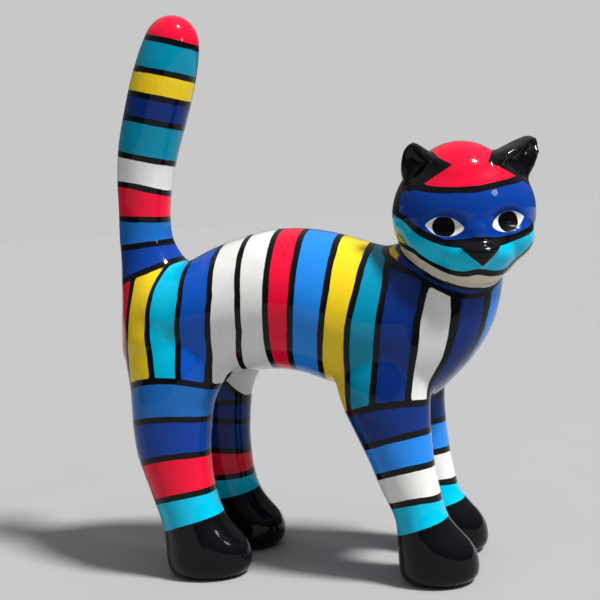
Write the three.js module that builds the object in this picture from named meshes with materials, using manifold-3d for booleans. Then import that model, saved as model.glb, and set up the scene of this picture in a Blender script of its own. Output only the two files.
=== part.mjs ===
// A standing cat cast in resin as one piece: four legs, an arched back, an upright tail and a turned head.
// Millimetres, +Z up. The body points along +X, and the head is turned to its own right, towards -Y.
// The origin is the middle of the bounding box, on the floor.

import * as THREE from 'three';
import { mergeVertices } from 'three/addons/utils/BufferGeometryUtils.js';
import Module from 'manifold-3d';

// Driving dimensions, in millimetres and degrees
const HEIGHT = 1400;
const HEAD_TURN = 70;
const PAW_GAUGE = 207;

// Pose and proportions below are in thousandths of the height, so the figure keeps them at any height.
const SHARE = HEIGHT / 1000;

// Rings along each limb, and points round each ring
const TORSO_MESH = { rings: 21, sides: 30 };
const CHEST_MESH = { rings: 11, sides: 26 };
const TAIL_MESH = { rings: 24, sides: 20 };
const LEG_MESH = { rings: 20, sides: 18 };
const EAR_SIDES = 16;
const HEAD_SPHERE = { around: 32, down: 22 };
const SMALL_SPHERE = { around: 22, down: 14 };
const NOSE_STEPS = 4;

// Each station is a row { x, z, depth, width }: a point of the limb's middle line, and the two half
// sizes of the oval round it, in the plane of the limb and across it.
const TORSO = [
  { x: -318, z: 462, depth: 72, width: 84 },
  { x: -280, z: 461, depth: 92, width: 105 },
  { x: -228, z: 460, depth: 98, width: 113 },
  { x: -172, z: 466, depth: 112, width: 117 },
  { x: -113, z: 475, depth: 120, width: 119 },
  { x: -56, z: 480, depth: 125, width: 120 },
  { x: 0, z: 472, depth: 126, width: 120 },
  { x: 52, z: 454, depth: 126, width: 119 },
  { x: 104, z: 436, depth: 127, width: 117 },
  { x: 160, z: 424, depth: 122, width: 110 },
  { x: 210, z: 418, depth: 98, width: 92 },
  { x: 250, z: 414, depth: 56, width: 58 },
];

const CHEST = [
  { x: 126, z: 292, depth: 64, width: 48 },
  { x: 141, z: 325, depth: 87, width: 90 },
  { x: 163, z: 360, depth: 101, width: 106 },
  { x: 190, z: 400, depth: 104, width: 108 },
  { x: 215, z: 440, depth: 98, width: 101 },
  { x: 232, z: 480, depth: 91, width: 90 },
  { x: 240, z: 520, depth: 89, width: 84 },
  { x: 244, z: 565, depth: 84, width: 82 },
];

// The tail's foot swells into the rump and closes between the hind legs.
const TAIL = [
  { x: -256, z: 322, depth: 34, width: 30 },
  { x: -259, z: 342, depth: 74, width: 66 },
  { x: -263, z: 375, depth: 101, width: 101 },
  { x: -268, z: 425, depth: 108, width: 112 },
  { x: -284, z: 474, depth: 92, width: 96 },
  { x: -300, z: 522, depth: 71, width: 73 },
  { x: -311, z: 564, depth: 56, width: 56 },
  { x: -317, z: 605, depth: 48, width: 48 },
  { x: -314, z: 658, depth: 47, width: 47 },
  { x: -308, z: 712, depth: 50, width: 50 },
  { x: -296, z: 765, depth: 54, width: 54 },
  { x: -278, z: 818, depth: 56, width: 56 },
  { x: -259, z: 870, depth: 57, width: 57 },
  { x: -240, z: 921, depth: 54, width: 54 },
  { x: -231, z: 946, depth: 50, width: 50 },
];
const TAIL_TIP_RISE = 55;

// The legs' stations start at the flat sole. inset is how far a leg leans in under the body.
const HIND_LEG = [
  { x: -221, z: 0, depth: 66, width: 44, inset: 0 },
  { x: -218, z: 9, depth: 78, width: 53, inset: 0 },
  { x: -216, z: 32, depth: 82, width: 57, inset: 0 },
  { x: -220, z: 60, depth: 77, width: 57, inset: 0 },
  { x: -231, z: 84, depth: 66, width: 55, inset: 0 },
  { x: -242, z: 110, depth: 60, width: 54, inset: 0 },
  { x: -254, z: 152, depth: 61, width: 54, inset: 0 },
  { x: -265, z: 216, depth: 69, width: 56, inset: 0 },
  { x: -265, z: 270, depth: 75, width: 60, inset: 3 },
  { x: -261, z: 310, depth: 79, width: 62, inset: 6 },
  { x: -252, z: 350, depth: 91, width: 62, inset: 11 },
  { x: -247, z: 400, depth: 103, width: 60, inset: 17 },
  { x: -248, z: 450, depth: 90, width: 50, inset: 25 },
  { x: -248, z: 490, depth: 58, width: 38, inset: 35 },
];

const FRONT_LEG = [
  { x: 193, z: 0, depth: 54, width: 43, inset: 0 },
  { x: 196, z: 9, depth: 67, width: 52, inset: 0 },
  { x: 198, z: 32, depth: 69, width: 56, inset: 0 },
  { x: 193, z: 60, depth: 65, width: 56, inset: 0 },
  { x: 184, z: 84, depth: 54, width: 52, inset: 0 },
  { x: 175, z: 106, depth: 46, width: 48, inset: 0 },
  { x: 167, z: 130, depth: 47, width: 45, inset: 0 },
  { x: 158, z: 158, depth: 51, width: 46, inset: 0 },
  { x: 147, z: 205, depth: 56, width: 48, inset: 0 },
  { x: 135, z: 257, depth: 66, width: 51, inset: 2 },
  { x: 126, z: 300, depth: 76, width: 54, inset: 6 },
  { x: 124, z: 350, depth: 84, width: 52, inset: 10 },
  { x: 128, z: 400, depth: 82, width: 46, inset: 18 },
  { x: 135, z: 450, depth: 60, width: 34, inset: 28 },
];

// The left legs differ a little: step is how far ahead the paw stands, lean how much further the hip is.
const LEGS = [
  { stations: FRONT_LEG, side: -1, step: 0, lean: 0 },
  { stations: FRONT_LEG, side: 1, step: 0, lean: 7 },
  { stations: HIND_LEG, side: -1, step: 0, lean: 0 },
  { stations: HIND_LEG, side: 1, step: 15, lean: 14 },
];

// The head has its own frame: x out of the face, y to its left, z up. Its forms are ovals at a place
// { at } with half sizes { size }.
const HEAD_PLACE = [271, -20, 604];
const SKULL = { at: [-3, 0, 2], size: [98, 119, 112] };
const MUZZLE = { at: [58, 0, -60], size: [46, 64, 37] };
const FACE_FORMS = [
  MUZZLE,
  // crown
  { at: [4, -6, 46], size: [78, 82, 76] },
  // brow
  { at: [34, 0, 26], size: [56, 86, 44] },
  // bridge of the nose
  { at: [62, 0, -28], size: [38, 30, 34] },
  // chin
  { at: [38, 0, -84], size: [50, 58, 33] },
];
const CHEEK = { at: [18, 50, -36], size: [66, 58, 52] };
const EYE_SOCKET = { at: [106, 72, -12], size: [31, 52, 22] };

const NOSE = { tipOut: 114, top: -54, bottom: -77, halfWidth: 28, edge: 5 };

// An ear is a bowed cone with a hollow in its front, drawn in level rings. A ring's centre is its
// distance out along the way the ear faces and its distance across that, with a half size for each.
const EAR = { facing: 30, wall: 8 };
const EARS = [
  {
    side: -1,
    hollow: { across: 0, share: 1 },
    rings: [
      { up: 30, out: 48, across: 30, thick: 42, broad: 50 },
      { up: 55, out: 50, across: 38, thick: 38, broad: 44 },
      { up: 76, out: 54, across: 47, thick: 33, broad: 37.5 },
      { up: 97, out: 57, across: 52, thick: 25, broad: 28 },
      { up: 111, out: 59, across: 57, thick: 17, broad: 18.7 },
      { up: 118, out: 60, across: 58.5, thick: 11, broad: 11.5 },
      { up: 123, out: 60, across: 59, thick: 5, broad: 5 },
    ],
  },
  {
    side: 1,
    hollow: { across: 11, share: 0.8 },
    rings: [
      { up: 30, out: 52, across: 34, thick: 36, broad: 34 },
      { up: 55, out: 56, across: 42, thick: 40, broad: 38 },
      { up: 70, out: 60, across: 54, thick: 38, broad: 42 },
      { up: 83, out: 60, across: 63, thick: 38, broad: 42 },
      { up: 97, out: 60, across: 68, thick: 38, broad: 40 },
      { up: 107, out: 60, across: 79, thick: 29, broad: 31 },
      { up: 114, out: 60, across: 88, thick: 20, broad: 22 },
      { up: 118, out: 60, across: 92, thick: 12, broad: 14 },
      { up: 121, out: 60, across: 94, thick: 5, broad: 6 },
    ],
  },
];

const WHITE_RESIN = { color: 0xecece8, roughness: 0.15, metalness: 0 };

const wasm = await Module();
wasm.setup();

// Keeps only the positions of a closed geometry, with each shared corner stored once.
function welded(geometry) {
  geometry.deleteAttribute('normal');
  geometry.deleteAttribute('uv');
  return mergeVertices(geometry, 1e-4);
}

// Turns a welded geometry into a manifold-3d solid.
function solidOf(geometry) {
  const index = geometry.index.array;
  const triVerts = [];
  for (let i = 0; i < index.length; i += 3) {
    const [a, b, c] = [index[i], index[i + 1], index[i + 2]];
    if (a !== b && b !== c && c !== a) triVerts.push(a, b, c);
  }
  const mesh = new wasm.Mesh({
    numProp: 3,
    vertProperties: new Float32Array(geometry.attributes.position.array),
    triVerts: new Uint32Array(triVerts),
  });
  return new wasm.Manifold(mesh);
}

function geometryOf(solid) {
  const mesh = solid.getMesh();
  const geometry = new THREE.BufferGeometry();
  geometry.setAttribute('position', new THREE.BufferAttribute(mesh.vertProperties, 3));
  geometry.setIndex(new THREE.BufferAttribute(mesh.triVerts, 1));
  return geometry;
}

// Skins a closed surface over rings with the same number of points, and closes it at two poles.
function skin(rings, startPole, endPole) {
  const sides = rings[0].length;
  const points = [...rings.flat(), startPole, endPole];
  const startIndex = points.length - 2;
  const endIndex = points.length - 1;
  const lastRing = (rings.length - 1) * sides;
  const index = [];
  for (let j = 0; j < sides; j += 1) {
    const next = (j + 1) % sides;
    index.push(startIndex, next, j);
    index.push(endIndex, lastRing + j, lastRing + next);
    for (let base = 0; base < lastRing; base += sides) {
      index.push(base + j, base + next, base + sides + next);
      index.push(base + j, base + sides + next, base + sides + j);
    }
  }
  const geometry = new THREE.BufferGeometry().setFromPoints(points);
  geometry.setIndex(index);
  return geometry;
}

// An oval of points round a centre. out and across are the unit directions of its two half sizes.
function ovalRing(centre, out, across, depth, width, sides) {
  return Array.from({ length: sides }, (_, j) => {
    const angle = (2 * Math.PI * j) / sides;
    return centre
      .clone()
      .addScaledVector(out, depth * Math.cos(angle))
      .addScaledVector(across, width * Math.sin(angle));
  });
}

const LEFT = new THREE.Vector3(0, 1, 0);
const UP = new THREE.Vector3(0, 0, 1);

// A limb through its stations. Its rings stand square to the middle line, or lie level when told to.
function limb(stations, mesh, { level = false, side = 0, step = 0, lean = 0, tipRise = 0 } = {}) {
  const halfGauge = PAW_GAUGE / 2;
  const topZ = stations[stations.length - 1].z;
  const middle = new THREE.CatmullRomCurve3(
    stations.map((s) => {
      const y = side * (halfGauge - (s.inset ?? 0) * SHARE);
      const ahead = step + (lean * s.z) / topZ;
      return new THREE.Vector3((s.x + ahead) * SHARE, y, s.z * SHARE);
    }),
  );
  const girth = new THREE.SplineCurve(
    stations.map((s) => new THREE.Vector2(s.depth * SHARE, s.width * SHARE)),
  );
  const rings = [];
  const addRing = (centre, along, scale, depth, width) => {
    const out = new THREE.Vector3().crossVectors(LEFT, along).normalize();
    rings.push(ovalRing(centre, out, LEFT, depth * scale, width * scale, mesh.sides));
  };
  for (let i = 0; i < mesh.rings; i += 1) {
    const t = i / (mesh.rings - 1);
    const size = girth.getPoint(t);
    const along = level ? UP : middle.getTangent(t);
    addRing(middle.getPoint(t), along, 1, size.x, size.y);
  }
  let endPole = middle.getPoint(1);
  if (tipRise > 0) {
    const along = middle.getTangent(1);
    const size = girth.getPoint(1);
    const rise = tipRise * SHARE;
    for (const degrees of [25, 48, 68]) {
      const angle = THREE.MathUtils.degToRad(degrees);
      const centre = endPole.clone().addScaledVector(along, rise * Math.sin(angle));
      addRing(centre, along, Math.cos(angle), size.x, size.y);
    }
    endPole = endPole.clone().addScaledVector(along, rise);
  }
  return skin(rings, middle.getPoint(0), endPole);
}

// An oval form of the head, in the head's own frame.
function oval({ at, size }, sphere, side = 1) {
  const geometry = welded(new THREE.SphereGeometry(1, sphere.around, sphere.down));
  geometry.rotateX(Math.PI / 2);
  geometry.scale(size[0] * SHARE, size[1] * SHARE, size[2] * SHARE);
  geometry.translate(at[0] * SHARE, side * at[1] * SHARE, at[2] * SHARE);
  return geometry;
}

// A three-cornered nose pad, broad above and pointed below, rounded towards its front.
function nose() {
  const outline = new THREE.Shape();
  const half = NOSE.halfWidth;
  const tall = NOSE.top - NOSE.bottom;
  outline.moveTo(-half, NOSE.top);
  outline.quadraticCurveTo(-half, NOSE.top - 0.35 * tall, -0.25 * half, NOSE.bottom);
  outline.quadraticCurveTo(0, NOSE.bottom - 0.1 * tall, 0.25 * half, NOSE.bottom);
  outline.quadraticCurveTo(half, NOSE.top - 0.35 * tall, half, NOSE.top);
  outline.quadraticCurveTo(0, NOSE.top + 0.4 * tall, -half, NOSE.top);
  const corners = outline.getPoints(NOSE_STEPS).slice(0, -1);
  const middleUp = NOSE.top - 0.4 * tall;
  const rootOut = MUZZLE.at[0];
  const place = (out, p, scale) => {
    const up = middleUp + (p.y - middleUp) * scale;
    return new THREE.Vector3(out, p.x * scale, up).multiplyScalar(SHARE);
  };
  const rings = [
    { out: rootOut, scale: 1 },
    { out: NOSE.tipOut - NOSE.edge, scale: 1 },
    { out: NOSE.tipOut - 0.3 * NOSE.edge, scale: 0.9 },
    { out: NOSE.tipOut, scale: 0.7 },
  ].map(({ out, scale }) => corners.map((p) => place(out, p, scale)));
  const middle = new THREE.Vector2(0, middleUp);
  return skin(rings, place(rootOut, middle, 1), place(NOSE.tipOut, middle, 1));
}

// One ear, or with inner set the smaller form that hollows its front.
function ear({ side, hollow, rings }, inner) {
  const facing = THREE.MathUtils.degToRad(side * EAR.facing);
  const out = new THREE.Vector3(Math.cos(facing), Math.sin(facing), 0);
  const across = new THREE.Vector3(-Math.sin(facing), Math.cos(facing), 0);
  const wall = inner ? EAR.wall : 0;
  const share = inner ? hollow.share : 1;
  const low = rings[0].up;
  const high = rings[rings.length - 1].up;
  const squeeze = (high - 1.6 * wall - low) / (high - low);
  const place = (r, rise) => {
    const centre = new THREE.Vector3(0, 0, low + (r.up - low) * squeeze + rise);
    centre.addScaledVector(out, r.out + (inner ? r.thick : 0));
    centre.addScaledVector(across, side * (r.across + (inner ? hollow.across : 0)));
    return centre.multiplyScalar(SHARE);
  };
  const ovals = rings.map((r) => {
    const thick = r.thick * (inner ? 0.9 : 1);
    const broad = Math.max(r.broad - wall, 3) * share;
    return ovalRing(place(r, 0), out, across, thick * SHARE, broad * SHARE, EAR_SIDES);
  });
  return skin(ovals, place(rings[0], 0), place(rings[rings.length - 1], 1.5));
}

// The head in its own frame: skull, brow, cheeks, muzzle, chin, nose and ears, less sockets and hollows.
function head() {
  let solid = solidOf(oval(SKULL, HEAD_SPHERE));
  for (const form of FACE_FORMS) {
    solid = solid.add(solidOf(oval(form, SMALL_SPHERE)));
  }
  for (const side of [-1, 1]) {
    solid = solid.add(solidOf(oval(CHEEK, SMALL_SPHERE, side)));
  }
  for (const side of [-1, 1]) {
    solid = solid.subtract(solidOf(oval(EYE_SOCKET, SMALL_SPHERE, side)));
  }
  for (const place of EARS) {
    const hollowed = solidOf(ear(place, false)).subtract(solidOf(ear(place, true)));
    solid = solid.add(hollowed);
  }
  return geometryOf(solid.add(solidOf(nose())));
}

function turnedHead() {
  const geometry = head();
  geometry.rotateZ(-THREE.MathUtils.degToRad(HEAD_TURN));
  geometry.translate(...HEAD_PLACE.map((share) => share * SHARE));
  return geometry;
}

function cat() {
  const forms = [
    limb(CHEST, CHEST_MESH, { level: true }),
    limb(TAIL, TAIL_MESH, { tipRise: TAIL_TIP_RISE }),
    turnedHead(),
    ...LEGS.map(({ stations, ...stance }) => limb(stations, LEG_MESH, { level: true, ...stance })),
  ];
  const body = solidOf(limb(TORSO, TORSO_MESH));
  const whole = forms.reduce((solid, form) => solid.add(solidOf(form)), body);
  const geometry = geometryOf(whole);
  geometry.computeBoundingBox();
  const box = geometry.boundingBox;
  const middle = box.getCenter(new THREE.Vector3());
  geometry.translate(-middle.x, -middle.y, -box.min.z);
  return geometry;
}

const sculpture = new THREE.Group();
const mesh = new THREE.Mesh(cat(), new THREE.MeshStandardMaterial(WHITE_RESIN));
mesh.name = 'cat';
sculpture.add(mesh);

export default sculpture;
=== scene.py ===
"""A standing cat cast in resin, painted in stripes under a clear gloss lacquer.

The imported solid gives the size, the place and the pose. This script draws the same limbs with
finer rings, fuses and smooths them into one skin, paints the stripes, the face and the boots on
it, and sets it on a pale floor under soft studio light.
"""

import logging
import math
from dataclasses import dataclass, field
from enum import Enum

import bpy
import numpy as np
from mathutils import Matrix, Vector


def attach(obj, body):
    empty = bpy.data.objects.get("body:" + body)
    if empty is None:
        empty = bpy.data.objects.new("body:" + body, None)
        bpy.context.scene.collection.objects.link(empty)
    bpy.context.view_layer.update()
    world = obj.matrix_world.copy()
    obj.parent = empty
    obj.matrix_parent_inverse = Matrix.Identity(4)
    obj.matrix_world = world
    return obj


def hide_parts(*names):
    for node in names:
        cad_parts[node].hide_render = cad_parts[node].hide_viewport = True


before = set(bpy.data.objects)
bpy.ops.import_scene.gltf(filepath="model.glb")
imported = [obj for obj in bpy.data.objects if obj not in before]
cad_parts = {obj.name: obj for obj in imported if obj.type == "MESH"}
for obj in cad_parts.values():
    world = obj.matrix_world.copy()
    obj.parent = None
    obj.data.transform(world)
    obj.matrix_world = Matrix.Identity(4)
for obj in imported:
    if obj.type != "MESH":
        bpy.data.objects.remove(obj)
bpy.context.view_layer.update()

LOG = logging.getLogger("cat")

Shape = bpy.types.Object
Tree = bpy.types.NodeTree
Socket = bpy.types.NodeSocket
Row = tuple[float, ...]
Table = tuple[Row, ...]

# The pose, in thousandths of the height, measured from the pose's own zero, as the solid has it.
HEIGHT = 1.4
SHARE = HEIGHT / 1000
POSE_ZERO = np.array([-12.158, 2.015, 0.0])
PAW_GAUGE = 207 / HEIGHT
# A distance outside every line and both eyes, in thousandths of the height.
FAR = 99.0
# How many points of a painted curve come of each of its rows.
CURVE_STEPS = 4

# Rows of x, z, depth, width and inset: a point of the middle line and two half sizes round it.
TORSO: Table = (
    (-318, 462, 72, 84, 0), (-280, 461, 92, 105, 0), (-228, 460, 98, 113, 0),
    (-172, 466, 112, 117, 0), (-113, 475, 120, 119, 0), (-56, 480, 125, 120, 0),
    (0, 472, 126, 120, 0), (52, 454, 126, 119, 0), (104, 436, 127, 117, 0),
    (160, 424, 122, 110, 0), (210, 418, 98, 92, 0), (250, 414, 56, 58, 0),
)
CHEST: Table = (
    (126, 292, 64, 48, 0), (141, 325, 87, 90, 0), (163, 360, 101, 106, 0),
    (190, 400, 104, 108, 0), (215, 440, 98, 101, 0), (232, 480, 91, 90, 0),
    (238, 520, 91, 86, 0), (238, 565, 92, 85, 0),
)
TAIL: Table = (
    (-256, 322, 34, 30, 0), (-259, 342, 74, 66, 0), (-263, 375, 101, 101, 0),
    (-268, 425, 108, 112, 0), (-284, 474, 92, 96, 0), (-300, 522, 71, 73, 0),
    (-311, 564, 56, 56, 0), (-317, 605, 48, 48, 0), (-314, 658, 47, 47, 0),
    (-308, 712, 50, 50, 0), (-296, 765, 54, 54, 0), (-278, 818, 56, 56, 0),
    (-259, 870, 57, 57, 0), (-240, 921, 54, 54, 0), (-231, 946, 50, 50, 0),
)
TAIL_TIP_RISE = 55
TIP_DEGREES = (20, 40, 58, 72, 83)
HIND_LEG: Table = (
    (-221, 0, 66, 44, 0), (-218, 9, 78, 53, 0), (-216, 32, 82, 57, 0),
    (-220, 60, 77, 57, 0), (-231, 84, 66, 55, 0), (-242, 110, 60, 54, 0),
    (-254, 152, 61, 54, 0), (-265, 216, 69, 56, 0), (-265, 270, 75, 60, 3),
    (-261, 310, 79, 62, 6), (-252, 350, 91, 62, 11), (-247, 400, 103, 60, 17),
    (-248, 450, 90, 50, 25), (-248, 490, 58, 38, 35),
)
FRONT_LEG: Table = (
    (193, 0, 54, 43, 0), (196, 9, 67, 52, 0), (198, 32, 69, 56, 0), (193, 60, 65, 56, 0),
    (184, 84, 54, 52, 0), (175, 106, 46, 48, 0), (167, 130, 47, 45, 0),
    (158, 158, 51, 46, 0), (147, 205, 56, 48, 0), (135, 257, 66, 51, 2),
    (126, 300, 76, 54, 6), (124, 350, 84, 52, 10), (128, 400, 82, 46, 18),
    (135, 450, 60, 34, 28),
)

HEAD_PLACE = np.array([271.0, -20.0, 604.0])
HEAD_TURN = math.radians(-70)


class Paint(Enum):
    """The enamels, as linear red, green and blue, with two darkened copies of them as painted
    shade.
    """

    RED = (0.86, 0.005, 0.038)
    CYAN = (0.0, 0.50, 0.74)
    # Painted shade: the cyan enamel darkened, for the tail's shaded rings and the shoulder stripe
    # under the head's shadow.
    TEAL = (0.0, 0.26, 0.41)
    YELLOW = (0.88, 0.62, 0.018)
    NAVY = (0.003, 0.026, 0.18)
    ROYAL = (0.003, 0.045, 0.31)
    BLUE = (0.004, 0.09, 0.52)
    STEEL = (0.012, 0.135, 0.46)
    SKY = (0.018, 0.235, 0.76)
    WHITE = (0.80, 0.80, 0.77)
    # Painted shade: the chin's white enamel, darker and creamier, for the shade under the jaw.
    CREAM = (0.66, 0.60, 0.47)
    BLACK = (0.003, 0.0034, 0.0045)


class Side(Enum):
    """The cat's own sides."""

    RIGHT = -1
    LEFT = 1


def deselect_all() -> None:
    """Leaves no object selected and none active."""
    for shape in bpy.context.selected_objects:
        shape.select_set(False)
    bpy.context.view_layer.objects.active = None


def make_active(shape: Shape) -> None:
    """Selects one object alone and makes it the active one.

    Args:
        shape: The object.
    """
    deselect_all()
    shape.select_set(True)
    bpy.context.view_layer.objects.active = shape


def apply_place(shape: Shape) -> None:
    """Moves an object's place, turn and scale into its mesh."""
    make_active(shape)
    bpy.ops.object.transform_apply(location=True, rotation=True, scale=True)


def apply_modifier(shape: Shape, kind: str, **settings: object) -> None:
    """Adds one modifier, sets it and applies it.

    Args:
        shape: The object that it works on.
        kind: The modifier's type.
        **settings: Values of the modifier's own properties.
    """
    make_active(shape)
    modifier = shape.modifiers.new(kind.title(), kind)
    for name, value in settings.items():
        setattr(modifier, name, value)
    bpy.ops.object.modifier_apply(modifier=modifier.name)


def join(name: str, shapes: list[Shape]) -> Shape:
    """Joins objects into the first of them.

    Args:
        name: What the joined object is called.
        shapes: The objects, all in place.

    Returns:
        The joined object.
    """
    deselect_all()
    for shape in shapes:
        shape.select_set(True)
    bpy.context.view_layer.objects.active = shapes[0]
    bpy.ops.object.join()
    shapes[0].name = shapes[0].data.name = name
    return shapes[0]


def fuse(name: str, shapes: list[Shape], voxel: float, rounds: int) -> Shape:
    """Fuses overlapping closed shapes into one skin and softens the creases between them.

    Args:
        name: What the fused object is called.
        shapes: Closed shapes that overlap.
        voxel: The size of a face of the new skin, in metres.
        rounds: How many times the skin is smoothed.

    Returns:
        The fused object.
    """
    skin = join(name, shapes)
    apply_modifier(skin, "REMESH", mode="VOXEL", voxel_size=voxel, adaptivity=0)
    if rounds:
        apply_modifier(skin, "SMOOTH", factor=0.5, iterations=rounds)
    return skin


def smooth_table(rows: Table, steps: int) -> np.ndarray:
    """Runs a smooth curve through the rows of a table.

    Args:
        rows: The rows that the curve goes through.
        steps: How many rows come out for each one that goes in.

    Returns:
        The finer table.
    """
    table = np.array(rows, float)
    padded = np.vstack([2 * table[0] - table[1], table, 2 * table[-1] - table[-2]])
    finer = []
    for before, start, end, after in zip(padded, padded[1:], padded[2:], padded[3:]):
        for t in np.arange(steps) / steps:
            bend = 2 * before - 5 * start + 4 * end - after
            twist = 3 * (start - end) + after - before
            finer.append(start + 0.5 * ((end - before) * t + bend * t**2 + twist * t**3))
    finer.append(table[-1])
    return np.array(finer)


@dataclass(frozen=True)
class Ring:
    """An oval ring of a limb: its centre, its lean about Y, and its two half sizes, in metres."""

    centre: Vector
    tilt: float
    depth: float
    width: float


def draw_rings(name: str, rings: list[Ring], sides: int) -> Shape:
    """Draws a closed limb from its first ring to its last, one extrusion a ring.

    Args:
        name: The new object's name.
        rings: The rings in order.
        sides: How many corners a ring has.

    Returns:
        The closed limb.
    """
    deselect_all()
    first = rings[0]
    bpy.ops.mesh.primitive_circle_add(
        vertices=sides, radius=1.0, fill_type="NGON", location=first.centre
    )
    shape = bpy.context.object
    shape.name = name
    bpy.ops.object.mode_set(mode="EDIT")
    bpy.ops.transform.resize(
        value=(first.depth, first.width, 1.0), center_override=first.centre
    )
    bpy.ops.transform.rotate(
        value=-first.tilt, orient_axis="Y", center_override=first.centre
    )
    for last, ring in zip(rings, rings[1:]):
        move = {"value": ring.centre - last.centre}
        bpy.ops.mesh.extrude_region_move(TRANSFORM_OT_translate=move)
        if abs(ring.tilt - last.tilt) > 1e-6:
            bpy.ops.transform.rotate(
                value=last.tilt - ring.tilt, orient_axis="Y", center_override=ring.centre
            )
        deeper = ring.depth / last.depth
        wider = ring.width / last.width
        bpy.ops.transform.resize(value=(deeper, wider, deeper), center_override=ring.centre)
    bpy.ops.mesh.select_all(action="SELECT")
    bpy.ops.mesh.normals_make_consistent(inside=False)
    bpy.ops.object.mode_set(mode="OBJECT")
    apply_place(shape)
    return shape


def to_metres(points: np.ndarray) -> np.ndarray:
    """Turns pose points, in thousandths of the height, into the row frame in metres."""
    return (points + POSE_ZERO) * SHARE


def to_pose(points: np.ndarray) -> np.ndarray:
    """Turns row frame points in metres into pose points, in thousandths of the height."""
    return points / SHARE - POSE_ZERO


@dataclass
class Limb:
    """A limb drawn through its stations: square to its middle line, or with level rings."""

    name: str
    stations: Table
    sides: int = 40
    steps: int = 3
    level: bool = True
    side: int = 0
    step: float = 0.0
    lean: float = 0.0
    tip_rise: float = 0.0
    swell: float = 1.0

    def middle(self, rows: np.ndarray) -> np.ndarray:
        """Finds the middle line's points.

        Args:
            rows: Rows of stations.

        Returns:
            One pose point for each row.
        """
        x = rows[:, 0] + self.step + self.lean * rows[:, 1] / self.stations[-1][1]
        y = self.side * (PAW_GAUGE / 2 - rows[:, 4])
        return np.column_stack([x, y, rows[:, 1]])

    def rings(self) -> list[Ring]:
        """Finds the limb's rings, with a dome past the last one where the limb has a tip.

        Returns:
            The rings, from the first to the last.
        """
        rows = smooth_table(self.stations, self.steps)
        centres = self.middle(rows)
        run = np.gradient(centres, axis=0)
        tilts = np.zeros(len(rows)) if self.level else np.arctan2(run[:, 0], run[:, 2])
        sizes = (rows[:, 2:4] + self.swell) * SHARE
        rings = [
            Ring(Vector(place), tilt, *size)
            for place, tilt, size in zip(to_metres(centres), tilts, sizes)
        ]
        if self.tip_rise:
            last = rings[-1]
            along = Vector((math.sin(last.tilt), 0.0, math.cos(last.tilt)))
            for angle in np.radians(TIP_DEGREES):
                place = last.centre + along * (self.tip_rise * SHARE * math.sin(angle))
                shrink = math.cos(angle)
                rings.append(Ring(place, last.tilt, last.depth * shrink, last.width * shrink))
        return rings

    def build(self) -> Shape:
        """Draws the limb."""
        return draw_rings(self.name, self.rings(), self.sides)

    def reach(self, points: np.ndarray) -> np.ndarray:
        """How far points lie from the middle line, as a share of the level ring at their height.

        Args:
            points: Pose points.

        Returns:
            One share for each point: 1 on the skin, more outside.
        """
        rows = smooth_table(self.stations, self.steps)
        centres = self.middle(rows)
        heights = rows[:, 1]
        off = [
            (points[:, axis] - np.interp(points[:, 2], heights, centres[:, axis]))
            / np.interp(points[:, 2], heights, rows[:, 2 + axis])
            for axis in (0, 1)
        ]
        return np.hypot(*off)


@dataclass(frozen=True)
class Oval:
    """An oval form of the head, in the head's own frame."""

    at: Row
    size: Row
    segments: int = 48
    rings: int = 32

    def build(self, name: str, side: int = 1) -> Shape:
        """Adds the oval.

        Args:
            name: The new object's name.
            side: -1 where it is mirrored to the right.

        Returns:
            The oval, in the head's frame.
        """
        deselect_all()
        x, y, z = self.at
        bpy.ops.mesh.primitive_uv_sphere_add(
            segments=self.segments,
            ring_count=self.rings,
            radius=SHARE,
            location=Vector((x, side * y, z)) * SHARE,
        )
        shape = bpy.context.object
        shape.name = name
        shape.scale = self.size
        apply_place(shape)
        return shape

    def reach(self, points: np.ndarray, side: int = 1) -> np.ndarray:
        """How far points of the head's frame lie from the centre: 1 on the oval's skin."""
        centre = np.array([self.at[0], side * self.at[1], self.at[2]])
        return np.linalg.norm((points - centre) / np.array(self.size), axis=1)


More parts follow.
